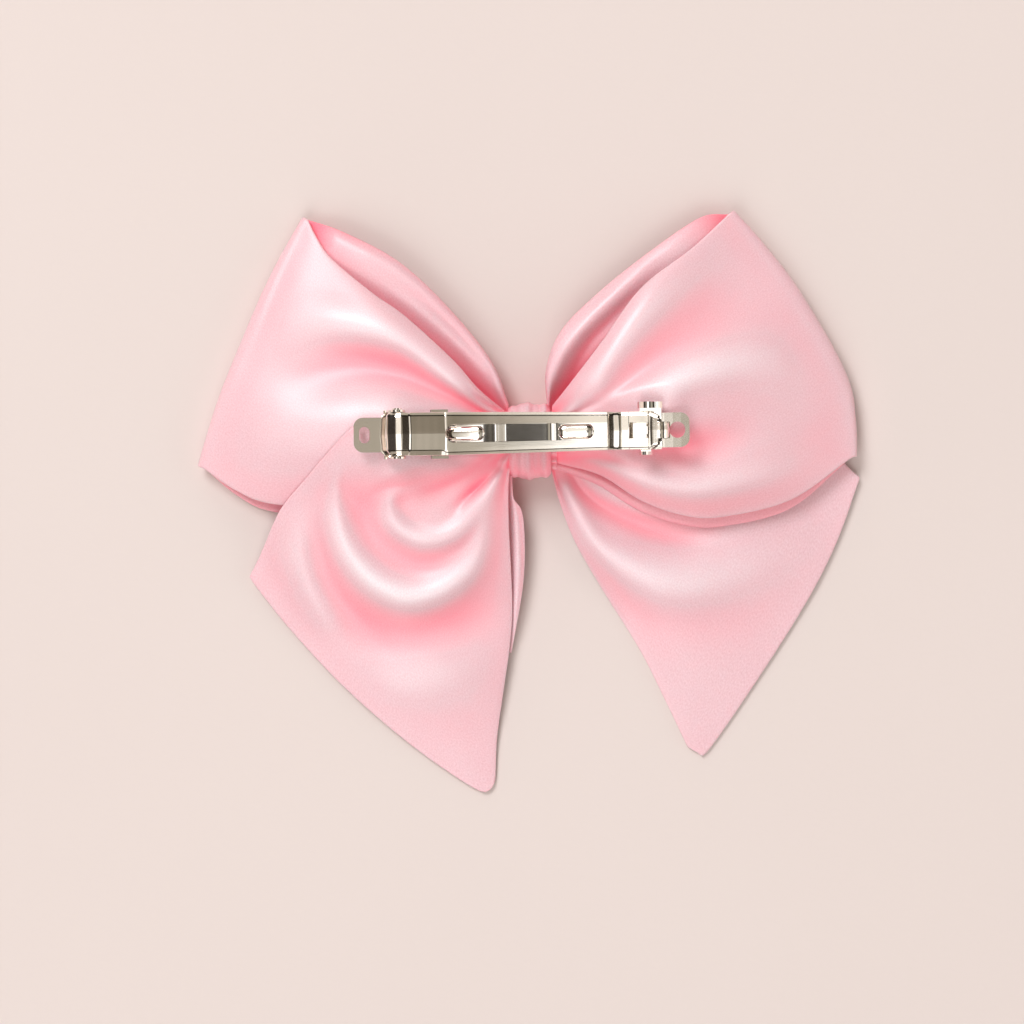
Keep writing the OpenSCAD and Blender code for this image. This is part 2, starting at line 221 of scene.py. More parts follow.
along_room = light.node(
    "ShaderNodeValToRGB",
    {0: lengthways * 0.5 + 0.5},
    stops=[
        (0.0, (0.7, 0.66, 0.63, 1)),
        (0.07, (0.8, 0.77, 0.75, 1)),
        (0.1, (0.07, 0.06, 0.05, 1)),
        (0.18, (0.08, 0.07, 0.06, 1)),
        (0.22, (1, 1, 1, 1)),
        (0.5, (1, 1, 1, 1)),
        (0.56, (0.55, 0.52, 0.48, 1)),
        (0.70, (0.5, 0.47, 0.43, 1)),
        (0.73, (0.05, 0.045, 0.04, 1)),
        (0.86, (0.05, 0.045, 0.04, 1)),
        (0.9, (1, 0.97, 0.95, 1)),
    ],
)
walls = light.node(
    "ShaderNodeMix", {0: 1.0, 6: across_room, 7: along_room}, 2, data_type="RGBA", blend_type="MULTIPLY"
)
# A camera's worth of dark stands straight above, faded out between two angles from the zenith.
off_zenith = light.node(
    "ShaderNodeMapRange",
    {
        "Value": upward.maths("ARCCOSINE", upward),
        "From Min": 0.09,
        "From Max": 0.15,
        "To Min": 0.05,
        "To Max": 1.0,
    },
)
feed(off_zenith.blend((0.04, 0.035, 0.03, 1), walls), room.node_tree.nodes["Background"], "Color")
room.node_tree.nodes["Background"].inputs["Strength"].default_value = 1.2

# ---------------------------------------------------------------- right tail
# The lower ribbon's right end: two layers of polyester satin, sewn, turned and pressed, with a
# blunt mitred tip. It lies on the table and runs up under the right loop to the knot.
MM = 0.001
satin_thick = 0.55
clip_middle = np.array([-1.9, 16.3])
plate_under = 16.0               # underside of the clip's plate at its middle, above the table
plate_bend = 150.0


def satin_finish():
    """Pink satin with a fine grain of floats. Its colour carries painted light: deeper pink as painted shade
    in its hollows, round the knot, within the loops and on slopes leaning away from the window light, with a
    faint painted pink glow there, and paler pink as a painted highlight on its ridges.
    """
    made, field, shader = finish_of(
        "pink_satin",
        IOR=1.75,
        Emission_Strength=1.0,
        Subsurface_Weight=0.25,
        Subsurface_Radius=(1.0, 0.4, 0.45),
        Subsurface_Scale=0.0015,
    )
    place = field.node("ShaderNodeAttribute", output=1, attribute_name="cloth")
    # The painted light attribute: above 0 where painted shade goes, below 0 where a painted highlight goes.
    painted_light = field.node("ShaderNodeAttribute", output=2, attribute_name="painted_light")
    thread = field.node("ShaderNodeMapping", {0: place, "Rotation": (0, 0, 0.7), "Scale": (9000, 1500, 1)})
    floats = field.node("ShaderNodeTexNoise", {"Vector": thread, "Scale": 1.0, "Detail": 2})
    across = field.node("ShaderNodeMapping", {0: place, "Rotation": (0, 0, -0.87), "Scale": (5200, 900, 1)})
    twill = field.node("ShaderNodeTexNoise", {"Vector": across, "Scale": 1.0, "Detail": 1})
    uneven = field.node("ShaderNodeTexNoise", {"Vector": place, "Scale": 90, "Detail": 3})
    grain = field.node("ShaderNodeTexNoise", {"Vector": place, "Scale": 2500, "Detail": 1}) * 2.4 - 0.7
    tone = uneven * 0.25 + floats * 0.15 + grain * 0.6
    pale = tone.blend((0.76, 0.44, 0.49, 1), (0.90, 0.62, 0.675, 1))
    # The deeper pink is painted shade and the paler pink below it is a painted highlight; the painted light
    # attribute blends them in.
    shade_pink = tone.blend((0.86, 0.18, 0.25, 1), (0.94, 0.28, 0.35, 1))
    highlight_pink = tone.blend((0.86, 0.66, 0.71, 1), (0.98, 0.86, 0.90, 1))
    painted_shade = painted_light.maths("MAXIMUM", painted_light, 0)
    painted_highlight = painted_light.maths("MAXIMUM", painted_light * -1.3 - 0.1, 0)
    feed(painted_highlight.blend(painted_shade.blend(pale, shade_pink), highlight_pink), shader, "Base Color")
    # Painted glow: where painted shade lies, the satin gives off a little pink light, though it is no lamp.
    feed(painted_shade.blend((0, 0, 0, 1), (0.2, 0.02, 0.035, 1)), shader, "Emission Color")
    feed(0.30 + floats * 0.1 + grain * 0.05 + uneven * 0.06, shader, "Roughness")
    relief = field.node(
        "ShaderNodeBump",
        {"Strength": 0.3, "Distance": 0.00007, "Height": floats * 0.5 + twill * 0.5 + grain * 0.5},
    )
    feed(relief, shader, "Normal")
    return made


satin = satin_finish()


def curve(points, count):
    """A smooth line through given points, as count + 1 samples spaced evenly along it."""
    p = np.array(points, float)
    p = np.vstack([2 * p[0] - p[1], p, 2 * p[-1] - p[-2]])
    t = np.linspace(0, 1, 24, endpoint=False)[:, None]
    dense = [
        0.5 * (2 * b + (c - a) * t + (2 * a - 5 * b + 4 * c - d) * t**2 + (3 * b - a - 3 * c + d) * t**3)
        for a, b, c, d in zip(p, p[1:], p[2:], p[3:])
    ]
    dense = np.vstack(dense + [p[-2:-1]])
    along = np.r_[0, np.cumsum(np.linalg.norm(np.diff(dense, axis=0), axis=1))]
    at = np.linspace(0, along[-1], count + 1)
    return np.stack([np.interp(at, along, column) for column in dense.T], axis=1)


def patch(low, high, inner, outer, rows, columns):
    """A sheet between four edges: low and high run outward from the knot, inner and outer across it."""
    low, high = curve(low, rows), curve(high, rows)
    inner, outer = curve(inner, columns), curve(outer, columns)
    u = np.linspace(0, 1, rows + 1)[:, None, None]
    v = np.linspace(0, 1, columns + 1)[None, :, None]
    corners = (1 - u) * (1 - v) * low[0] + u * (1 - v) * low[-1] + (1 - u) * v * high[0] + u * v * high[-1]
    return (1 - v) * low[:, None] + v * high[:, None] + (1 - u) * inner[None] + u * outer[None] - corners


def crown(sheet, height, sharp=0.8, peak=0.5):
    """Swells a sheet between its edges; peak moves the top of the swell outward or inward."""
    u = np.linspace(0, 1, sheet.shape[0])[:, None]
    v = np.linspace(0, 1, sheet.shape[1])[None, :]
    power = math.log(0.5) / math.log(peak)
    outward = np.sin(np.pi * np.clip(0.12 + 0.88 * u, 0, 1) ** power)
    sheet[..., 2] += height * np.sin(np.pi * v) ** sharp * outward


def fold(sheet, strokes):
    """Raises rolls and sinks troughs along lines: each has its points, widths and heights along it."""
    flat = sheet[..., :2].reshape(-1, 2)
    lift = np.zeros(len(flat))
    for points, widths, heights in strokes:
        line = curve(points, 120)
        share = np.linspace(0, 1, len(line))
        width = np.interp(share, np.linspace(0, 1, len(widths)), widths)
        rise = np.interp(share, np.linspace(0, 1, len(heights)), heights)
        step = np.linalg.norm(line[1] - line[0])
        away = ((flat[:, None] - line[None]) ** 2).sum(axis=2)
        lift += (np.exp(-away / width**2) * rise * step / (width * math.sqrt(math.pi))).sum(axis=1)
    sheet[..., 2] += lift.reshape(sheet.shape[:2])


def pleat(sheet, count, depth, reach, turn=0.0):
    """Gathers at the knot: small pleats that open out over the reach, in millimetres."""
    away = np.linalg.norm(sheet[..., :2] - sheet[:1, :, :2], axis=2)
    v = np.linspace(0, 1, sheet.shape[1])[None, :]
    wander = 0.35 * np.sin(2.3 * np.pi * v + turn) + 0.2 * np.sin(away / 9 + turn)
    wave = np.sin(2 * np.pi * (count * v + wander) + turn)
    uneven = 0.75 + 0.25 * np.sin(5.1 * np.pi * v + 2 * turn)
    sheet[..., 2] += depth * uneven * wave * np.exp(-away / reach) * np.minimum(1, np.sin(np.pi * v) * 3)


def under_clip(sheet, clear=0.7):
    """Keeps a sheet below the clip's plate, and lets it swell beside it."""
    x, y, z = sheet[..., 0], sheet[..., 1], sheet[..., 2]
    beside = np.maximum(np.abs(y - clip_middle[1]) - 5.5, 0) + np.maximum(np.abs(x - clip_middle[0]) - 40, 0)
    roof = plate_under - clear + (x - clip_middle[0]) ** 2 / (2 * plate_bend) + 0.05 * beside**2
    over = z - roof
    soft = 1.5
    sheet[..., 2] = np.where(over > -soft, roof - soft + soft * np.tanh((over + soft) / soft), z)


def on_table(sheet, low=0.35):
    """Keeps a sheet above the table."""
    z = sheet[..., 2]
    soft = 0.6
    sheet[..., 2] = np.where(z < low + soft, low + soft * np.exp((z - low - soft) / soft), z)


def shared(values):
    """Each value's mean over its four neighbours on the sheet."""
    padded = np.pad(values, 1, mode="edge")
    return (padded[:-2, 1:-1] + padded[2:, 1:-1] + padded[1:-1, :-2] + padded[1:-1, 2:]) / 4


window_light_way = np.array([-0.36, 0.52, 0.78])  # the window light's way: satin leaning away from it gets painted shade, a deeper pink


def painted_light_values(sheet, reach=11):
    """Painted light values: up to 1 for painted shade in hollows, round the knot and under the clip, and on
    slopes leaning away from the window light, and down to -1 for a painted highlight on ridges.
    """
    z = sheet[..., 2]
    around = z
    for _ in range(reach * reach):
        around = shared(around)
    # Painted shade round the knot and under the clip, where their shadow falls.
    knot_shade = np.exp(-((sheet[..., 0] / 32) ** 2) - ((sheet[..., 1] - 13) / 12) ** 2)
    u = np.linspace(0, 1, sheet.shape[0])[:, None]
    v = np.linspace(0, 1, sheet.shape[1])[None, :]
    inland = np.clip(9 * np.minimum(1 - u, np.minimum(v, 1 - v)), 0, 1)
    # Painted shade on slopes leaning away from the window light; slopes facing it get a touch paler.
    normal = np.cross(np.gradient(sheet, axis=0), np.gradient(sheet, axis=1))
    normal *= (np.sign(normal[..., 2]) / np.linalg.norm(normal, axis=2))[..., None]
    slope_shade = np.clip(0.85 * (0.71 - normal @ window_light_way), -0.03, 0.4)
    return np.clip(((around - z) * 0.4 + slope_shade) * inland + 0.55 * knot_shade, -1, 1)


def squares(sheet, closed=False):
    """The corners of a sheet's squares; closed joins its last column to its first."""
    rows, columns = sheet.shape[:2]
    index = np.arange(rows * columns).reshape(rows, columns)
    if closed:
        index = np.hstack([index, index[:, :1]])
    return np.stack([index[:-1, :-1], index[1:, :-1], index[1:, 1:], index[:-1, 1:]], axis=-1)


def cloth(name, sheet, thick=satin_thick, closed=False, painted_light=None):
    """A doubled satin piece from its middle surface, in millimetres. Its cloth attribute runs along it."""
    rows, columns = sheet.shape[:2]
    quads = squares(sheet, closed).reshape(-1, 4).tolist()
    piece = mesh_piece(name, sheet.reshape(-1, 3) * MM, quads, satin)
    u = np.linalg.norm(np.diff(sheet[:, columns // 2], axis=0), axis=1)
    v = np.linalg.norm(np.diff(sheet[rows // 2], axis=0), axis=1)
    u, v = np.r_[0, np.cumsum(u)], np.r_[0, np.cumsum(v)]
    place = np.stack(np.broadcast_arrays(u[:, None], v[None, :], 0.0), axis=-1) * MM
    layer = piece.data.attributes.new("cloth", "FLOAT_VECTOR", "POINT")
    layer.data.foreach_set("vector", place.reshape(-1).astype(np.float32))
    # The painted light values go on each point, for the satin's painted shade and painted highlight.
    depth = piece.data.attributes.new("painted_light", "FLOAT", "POINT")
    painted_light = painted_light_values(sheet) if painted_light is None else painted_light
    depth.data.foreach_set("value", painted_light.reshape(-1).astype(np.float32))
    solid = piece.modifiers.new("thickness", "SOLIDIFY")
    solid.thickness, solid.offset = thick * MM, 0
    smooth = piece.modifiers.new("smooth", "SUBSURF")
    smooth.levels = smooth.render_levels = 1
    return piece


right_tail_sheet = patch(
    low=[(5.2, 8, 3.4), (7, 0.3, 3.2), (10.5, -9.4, 2.6), (16.4, -20.3, 2), (25.7, -36, 1.4),
         (31.5, -48, 1), (37, -60, 0.9)],
    high=[(5, 19, 3.4), (25, 17, 3), (50, 15, 2.4), (70, 12, 2), (79.8, 4.5, 2)],
    inner=[(5.2, 8, 3.4), (5, 19, 3.4)],
    outer=[(37, -60, 0.9), (39.5, -61.4, 0.9), (42.1, -60.9, 0.9), (54.4, -43.8, 1), (66.8, -24.8, 1.2),
           (74.2, -10.5, 1.4), (79.8, 4.5, 2)],
    rows=96, columns=96,
)
crown(right_tail_sheet, 1.6)
fold(right_tail_sheet, [
    ([(8, 5), (10, 0), (16, -11), (28, -19), (40, -21), (56, -16), (70, -8)],
     (1.8, 3.4, 6, 8, 9, 8), (0.8, 2.8, 3.6, 3.4, 2.4, 1.2, 0)),
    ([(9, 8), (14, 1), (24, -5), (36, -8), (48, -6)], (1.4, 3, 4.5), (-0.6, -1.8, -2.2, -1.6, 0)),
    ([(12, -10), (20, -26), (30, -40), (38, -50)], (5, 8, 9), (-0.2, -1, -1.2, -0.6, 0)),
])
pleat(right_tail_sheet, 3, 0.9, 14, 0.6)
on_table(right_tail_sheet)
right_tail = cloth("right_tail_satin", right_tail_sheet)
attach(right_tail, "root")
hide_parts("right_tail")

# ---------------------------------------------------------------- right loop
# The upper ribbon's right half: a strip of doubled satin that leaves the knot on top, folds over at
# the outer end and comes back underneath. Its long edges stay open, so the inside shows.


def loop_painted_light(back, front, reach=9, turn_rows=6):
    """A joined loop's painted light values, with most painted shade where the front layer shows past the
    back one.
    """
    share = np.linspace(0, 1, front.shape[1])[None, :]
    # Painted shade within the loop, deeper where the front layer lies low.
    inside = np.where(share > 0.6, np.clip((9.5 - front[..., 2]) / 5, 0, 1), 0.4)
    turns = np.zeros((turn_rows - 1, front.shape[1]))
    return np.concatenate([painted_light_values(back, reach), turns, np.maximum(painted_light_values(front, reach), inside)[::-1]])


def loop(back, front, outward, turn_rows=6):
    """Joins a loop's two layers by a rounded fold along their outer edges."""
    middle = (back[-1] + front[-1]) / 2
    half = (back[-1, :, 2] - front[-1, :, 2]) / 2
    turns = []
    for k in range(1, turn_rows):
        angle = math.pi * k / turn_rows
        row = middle.copy()
        row[:, :2] += (half * math.sin(angle))[:, None] * outward
        row[:, 2] += half * math.cos(angle)
        turns.append(row)
    return np.concatenate([back, np.array(turns), front[::-1]])


def outward_of(outer, sign):
    """Unit normals of a fold line in plan."""
    along = np.gradient(outer[:, :2], axis=0)
    along /= np.linalg.norm(along, axis=1)[:, None]
    return sign * np.stack([-along[:, 1], along[:, 0]], axis=1)


def rolled(sheet, profile, strength):
    """Gives a sheet a rolled profile from its low edge to its high edge, faded along it by strength."""
    line = curve(profile, 200)
    rise = np.interp(np.linspace(0, 1, sheet.shape[1]), line[:, 0], line[:, 1])[None, :]
    share = np.linspace(0, 1, sheet.shape[0])
    stops = np.linspace(0, 1, len(strength))
    fade = np.interp(share, stops, strength)[:, None]
    sheet[..., 2] = sheet[..., 2] * (1 - fade) + rise * fade


right_back = patch(
    low=[(5.4, 9.5, 9), (16.8, 6.1, 10), (26.3, -0.1, 9.4), (36, -3.8, 8.8), (45.5, -4.5, 8.4),
         (62.4, -0.7, 7.6), (77.5, 9.3, 6.2)],
    high=[(5.6, 22.6, 10), (10, 28, 12.5), (17.4, 37.4, 14), (27.2, 50.4, 13), (39.4, 59.8, 9.4),
          (49, 68.5, 6)],
    inner=[(5.4, 9.5, 9), (5, 16, 10), (5.6, 22.6, 10)],
    outer=[(77.5, 9.3, 6.2), (76.4, 18, 7), (73.6, 28, 8), (63.6, 47, 8), (56.5, 58, 7), (49, 68.5, 6)],
    rows=76, columns=76,
)
crown(right_back, 6.0, 0.8, 0.45)
fold(right_back, [
    ([(46, 63), (38, 56), (30, 48), (21, 37), (13, 26)], (6, 6, 5, 3), (0.5, 2.2, 3, 2.6, 1)),
    ([(13, 20), (24, 29), (36, 38), (50, 45), (62, 44)], (2.4, 6, 9, 10), (-0.6, -2.2, -3, -2.0, 0)),
    ([(12, 17), (26, 23), (40, 30), (56, 32), (70, 26)], (2.4, 5, 8), (0.6, 2.2, 2.6, 1.6, 0)),
    ([(20, 15), (34, 12), (44, 13), (56, 17)], (3, 5, 6), (-0.4, -2.4, -3.2, -1.4, 0)),
    ([(9, 12), (18, 9), (28, 4), (38, 1.5), (54, 4), (68, 9)],
     (1.6, 3.2, 5, 6), (0.6, 2, 2.4, 2.2, 1.4, 0.2)),
    ([(10, 11), (17, 10), (24, 7.4), (32, 6)], (1.2, 2), (-0.8, -1.6, -0.8, 0)),
])
pleat(right_back, 3.5, 1.1, 13, 1.9)
under_clip(right_back)
right_front = patch(
    low=[(5, 8.4, 5.2), (16, 4, 5.8), (26, -2.4, 5.8), (36, -6, 5.6), (45.6, -6.8, 5.6), (62.5, -2.8, 5.2),
         (77.5, 9.3, 4)],
    high=[(4.6, 23.2, 6), (4.4, 31.6, 8.5), (8.2, 41, 9.5), (17.8, 50.4, 9.5), (30, 59.8, 8), (42, 67.6, 5),
          (49, 68.5, 3.4)],
    inner=[(5, 8.4, 5.2), (4.8, 16, 4.6), (4.6, 23.2, 6)],
    outer=[(77.5, 9.3, 4), (76.4, 18, 2.6), (73.6, 28, 1.6), (63.6, 47, 1.4), (56.5, 58, 1.8),
           (49, 68.5, 3.4)],
    rows=76, columns=76,
)
rolled(
    right_front,
    [(0, 4.2), (0.02, 5.4), (0.06, 5.7), (0.14, 4.6), (0.3, 2), (0.6, 1.6), (0.7, 3.6), (0.79, 7),
     (0.88, 10), (0.94, 10.6), (0.98, 10), (1, 8.4)],
    (0.5, 0.95, 1, 1, 1, 0.95, 0.8, 0.55, 0),
)
fold(right_front, [
    ([(6, 28), (9, 36), (17, 45), (30, 56)], (1.2, 2), (0.2, 1, 1, 0)),
    ([(9, 27), (14, 37), (23, 46), (36, 58)], (1.5, 2.2), (-0.4, -1.4, -1.2, 0)),
])
on_table(right_front)
right_loop_sheet = loop(right_back, right_front, outward_of(right_back[-1], -1))
right_loop = cloth("right_loop_satin", right_loop_sheet, painted_light=loop_painted_light(right_back, right_front))
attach(right_loop, "root")
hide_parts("right_loop")

# ---------------------------------------------------------------- left loop
# The same ribbon's left half, folded like the right one. A broad hollow runs outward from the knot
# along its upper layer, with a ridge above it.
left_back = patch(
    low=[(-4.8, 9, 8), (-20, 2, 9), (-40, -1.5, 8), (-62, 0.5, 6.2), (-71, 4, 5.4), (-78.5, 9.3, 5)],
    high=[(-5.6, 21.5, 9), (-12, 27, 12), (-18, 34, 13), (-29, 44.5, 12.5), (-37, 50.5, 11.5),
          (-46.5, 59, 8.6), (-50, 64, 7), (-52.4, 69, 5)],
    inner=[(-4.8, 9, 8), (-4.6, 16, 9.6), (-5.6, 21.5, 9)],
    outer=[(-78.5, 9.3, 5), (-71.6, 26, 7), (-64.6, 42, 7.4), (-58.6, 56, 6.4), (-52.4, 69, 5)],
    rows=76, columns=76,
)
crown(left_back, 6.0, 0.8, 0.5)
fold(left_back, [
    ([(-9, 21), (-15, 23.5), (-22, 27), (-28, 31), (-35, 33), (-43, 33), (-52, 31), (-60, 27)],
     (2.2, 4.4, 6.5, 8, 9, 9), (-1.5, -4, -5.8, -6, -4.4, 0)),
    ([(-8, 22.6), (-13, 26), (-20, 30.5), (-28, 36.5), (-36, 41), (-46, 44), (-58, 44)],
     (1.8, 3, 4.2, 5.4, 7), (0.8, 2.8, 3.6, 3.4, 2, 0)),
    ([(-12, 27.5), (-18, 33), (-28, 42), (-38, 49), (-48, 58)], (1.8, 2.8, 3.4), (0.6, 1.4, 1.4, 1, 0)),
    ([(-40, 18), (-50, 16), (-60, 16), (-70, 16)], (8, 10), (0, 0.8, 1, 0)),
])
pleat(left_back, 3.5, 1.1, 13, 0.4)
under_clip(left_back)
left_front = patch(
    low=[(-4.8, 8, 4), (-20, 0, 1.4), (-40, -3.4, 1.2), (-62, -1.4, 1.2), (-71, 2.8, 1.4),
         (-78.5, 9.3, 1.8)],
    high=[(-5, 23.4, 6), (-9, 34, 9), (-18.5, 46.4, 9.4), (-30.4, 58, 7.8), (-43.4, 65.4, 4.8),
          (-52.4, 69, 2.4)],
    inner=[(-4.8, 8, 4), (-4.4, 16, 3), (-5, 23.4, 6)],
    outer=[(-78.5, 9.3, 1.8), (-71.6, 26, 1.2), (-64.6, 42, 1.2), (-58.6, 56, 1.4), (-52.4, 69, 2.4)],
    rows=76, columns=76,
)
rolled(
    left_front,
    [(0, 1.4), (0.1, 1.2), (0.6, 1.6), (0.72, 3.6), (0.81, 6.8), (0.89, 9.4), (0.94, 10),
     (0.975, 9.6), (1, 7.8)],
    (0.4, 0.95, 1, 1, 1, 0.9, 0.8, 0.6, 0),
)
fold(left_front, [
    ([(-8, 29), (-14, 38), (-24, 48), (-38, 58)], (1.2, 1.8), (-0.4, -1.2, -1, 0)),
])
on_table(left_front)
left_loop_sheet = loop(left_back, left_front, outward_of(left_back[-1], 1))
left_loop = cloth("left_loop_satin", left_loop_sheet, painted_light=loop_painted_light(left_back, left_front))
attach(left_loop, "root")
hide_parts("left_loop")

# ---------------------------------------------------------------- left tail
# The lower ribbon's left end. It comes out of the knot above the left loop, hangs over the loop's
# lower edge in U-shaped folds and lies down to its rounded tip.


def lie_over(sheet, below, gap):
    """Lifts a sheet so that it clears the sheet below it."""
    quads = squares(below).reshape(-1, 4).tolist()
    tree = BVHTree.FromPolygons([Vector(p) for p in below.reshape(-1, 3)], quads)
    lift = np.zeros(sheet.shape[:2])
    high = 60
    for i, j in np.ndindex(lift.shape):
        hit = tree.ray_cast(Vector((sheet[i, j, 0], sheet[i, j, 1], high)), Vector((0, 0, -1)))[0]
        if hit:
            lift[i, j] = max(0, hit.z + gap - sheet[i, j, 2])
    spread = lift.copy()
    passes = 14
    for _ in range(passes):
        spread = np.maximum(shared(spread), lift)
    sheet[..., 2] += spread


left_tail_sheet = patch(
    low=[(-4.6, 8.5, 12), (-5.3, 5, 11.6), (-5.4, -5, 9.6), (-5, -15.7, 7), (-4.8, -26.4, 5),
         (-5.6, -35, 3.6), (-7.2, -45.2, 2.6), (-9, -57, 1.4), (-9.6, -66.8, 1), (-10.6, -69.2, 1)],
    high=[(-4.8, 19.5, 12), (-22, 21, 13), (-34, 20.4, 13), (-41, 19, 13), (-47, 13.5, 12), (-54, 6, 10.5),
          (-59.3, 0.2, 8), (-62, -4.3, 5.6), (-65.2, -11.2, 3), (-68.3, -17, 1.6)],
    inner=[(-4.6, 8.5, 12), (-4.8, 19.5, 12)],
    outer=[(-10.6, -69.2, 1), (-13, -70, 1), (-20.5, -65.4, 1.1), (-32.4, -56.3, 1.2), (-46.6, -43.3, 1.2),
           (-58.3, -30.3, 1.3), (-66, -20.4, 1.4), (-68.3, -17, 1.6)],
    rows=120, columns=96,
)
crown(left_tail_sheet, 2.2, 0.8, 0.5)
fold(left_tail_sheet, [
    ([(-45.5, 9), (-46.6, 1), (-45, -9), (-41.3, -15.5), (-35.6, -20.5), (-29, -22.9), (-21.6, -21.3),
      (-15, -16.4), (-11.8, -10.6), (-9.3, -0.8), (-7.2, 7)],
     (1.8, 2.6, 3.2, 3.6, 3.4, 2.8, 1.6), (0.6, 1.6, 2, 2.2, 2.2, 2, 1.6, 0.8)),
    ([(-46, -2), (-41, -15), (-29, -22), (-17, -17), (-11, -6)],
     (6, 9, 10, 8, 5), (0, 1.1, 1.6, 1.1, 0)),
    ([(-31, 4), (-33.8, 0.9), (-33.1, -4), (-29, -7.7), (-23.2, -9), (-16.7, -6.5), (-13, -1.6), (-8, 7)],
     (1.8, 2.6, 3.2, 2.8, 1.6), (0.3, 1.8, 2.3, 2.3, 1.6, 0.6)),
    ([(-29, 0), (-22, -3), (-15, 1)], (4, 5, 3), (0.4, 1.2, 0.3)),
    ([(-40, 4), (-39.6, -5), (-35, -12.4), (-26, -15.6), (-18, -12.5)], (3, 4, 3), (0, -1, -1.3, -1, 0)),
    ([(-37, 3), (-29, 5.7), (-21.3, 8.1), (-14, 10)], (1.6, 2.2, 1.4), (-0.3, -1.8, -2, -0.8)),
    ([(-19, -2), (-10.1, 5.4), (-7, 8.6)], (1.4, 1.0), (0, -1.5, -0.7)),
    ([(-51, -3), (-49.5, -17), (-42, -27), (-31.5, -32.7), (-16.7, -28.7), (-8, -25)],
     (4, 6, 7, 7), (0, -1.5, -2.2, -2.5, -2, -0.6)),
    ([(-58, 0), (-57, -7.3), (-55.4, -14.6), (-50.5, -25.4), (-44, -33)],
     (3, 4.4, 4.4), (0, 1.5, 2.1, 1.7, 0)),
    ([(-42, -40), (-29, -41.8), (-16, -46)], (8, 10, 9), (0, 2.2, 2, 0)),
])
pleat(left_tail_sheet, 4, 0.5, 12, 2.6)
lie_over(left_tail_sheet, left_back, 1.4)
under_clip(left_tail_sheet)
on_table(left_tail_sheet)
left_tail = cloth("left_tail_satin", left_tail_sheet)
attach(left_tail, "root")
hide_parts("left_tail")

# The tail's other layer shows as a narrow turned strip beside its inner edge.
left_strip_sheet = patch(
    low=[(-4.3, 8.4, 9.6), (-4.2, 3, 9), (-3.9, 0.6, 8.6), (-2.0, -2.6, 7.6), (-1.5, -11, 6),
         (-2.1, -20, 4.6), (-3.9, -30, 3.2), (-5.2, -36.5, 2.4)],
    high=[(-8.6, 9.4, 9.6), (-9, 5, 8.6), (-9.2, -5, 6.6), (-9, -16, 4.6), (-8.8, -26.4, 2.6),
          (-8.6, -35.4, 1.6)],
    inner=[(-4.3, 8.4, 9.6), (-8.6, 9.4, 9.6)],
    outer=[(-5.2, -36.5, 2.4), (-8.6, -35.4, 1.6)],
    rows=80, columns=20,
)
fold(left_strip_sheet, [
    ([(-4.9, 5), (-3.6, -3), (-3.2, -12), (-3.6, -22), (-5, -33)], (0.7, 1.0, 0.9), (0, 0.9, 1.2, 1, 0)),
])
left_strip = cloth("left_tail_under_satin", left_strip_sheet, 0.4)
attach(left_strip, "root")
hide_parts("left_tail")

# ---------------------------------------------------------------- gathered middle
# The middles of both ribbons, pressed into pleats and bound by a few turns of thread. Only their
# outer skin is made, since the wrap hides the rest.
core_low, core_high = (np.array(c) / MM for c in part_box("gathered_middle"))
middle_half = 6.5


def ring(low, high, reach, along, around, shape):
    """A closed band round the knot: shape(x, angle) gives how far it stands off its box."""
    half = (high - low)[1:] / 2
    middle = (high + low)[1:] / 2
    x = np.linspace(-reach, reach, along + 1)[:, None]
    angle = np.linspace(0, 2 * np.pi, around, endpoint=False)[None, :]
    round_off = 0.62
    y = np.sign(np.cos(angle)) * np.abs(np.cos(angle)) ** round_off
    z = np.sign(np.sin(angle)) * np.abs(np.sin(angle)) ** round_off
    off = shape(x, angle)
    return np.stack(np.broadcast_arrays(
        x, middle[0] + y * (half[0] + off), middle[1] + z * (half[1] + off)), axis=-1).copy()


def bundle(x, angle):
    """Many small pleats, deeper towards the ends of the gathers."""
    reach = np.abs(x) / middle_half
    pleats = 0.5 * np.sin(15 * angle + 1.2 * np.sin(2 * angle)) + 0.25 * np.sin(7 * angle + 1)
    return pleats * (0.4 + 0.6 * reach) - 1.4


middle_sheet = ring(core_low, core_high, middle_half, 20, 180, bundle)
middle = cloth("gathered_middle_satin", middle_sheet, 0.4, closed=True)
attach(middle, "root")
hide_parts("gathered_middle")

# ---------------------------------------------------------------- centre wrap
# A short strip of the same satin, folded to a band, pulled round the gathers and stitched where
# the clip covers it. Soft folds run along it.
wrap_low, wrap_high = (np.array(c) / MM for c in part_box("center_wrap"))
wrap_half = 5.0


def wrap_folds(x, angle):
    """Soft folds and a few fine ones along the band, which thins out at its edges."""
    w = x / 4.8
    edge = -1.1 * np.abs(w) ** 6
    soft = 0.28 * np.cos(1.9 * np.pi * w + 0.5 + 0.4 * np.sin(angle + 0.5))
    fine = 0.08 * np.cos(5 * np.pi * w + np.sin(angle))
    return edge + soft + fine - 0.66


wrap_sheet = ring(wrap_low, wrap_high, wrap_half, 40, 120, wrap_folds)
wrap = cloth("center_wrap_satin", wrap_sheet, 0.5, closed=True)
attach(wrap, "root")
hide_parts("center_wrap")

# ---------------------------------------------------------------- clip
# Nickel-plated steel stampings, riveted and pinned together. The plate with its ears and lugs, the
# pin, the rivet and the latch keep their exact solids; their edges are eased as tumbling leaves them.
clip_above = 16.6                # inner face of the plate at its middle


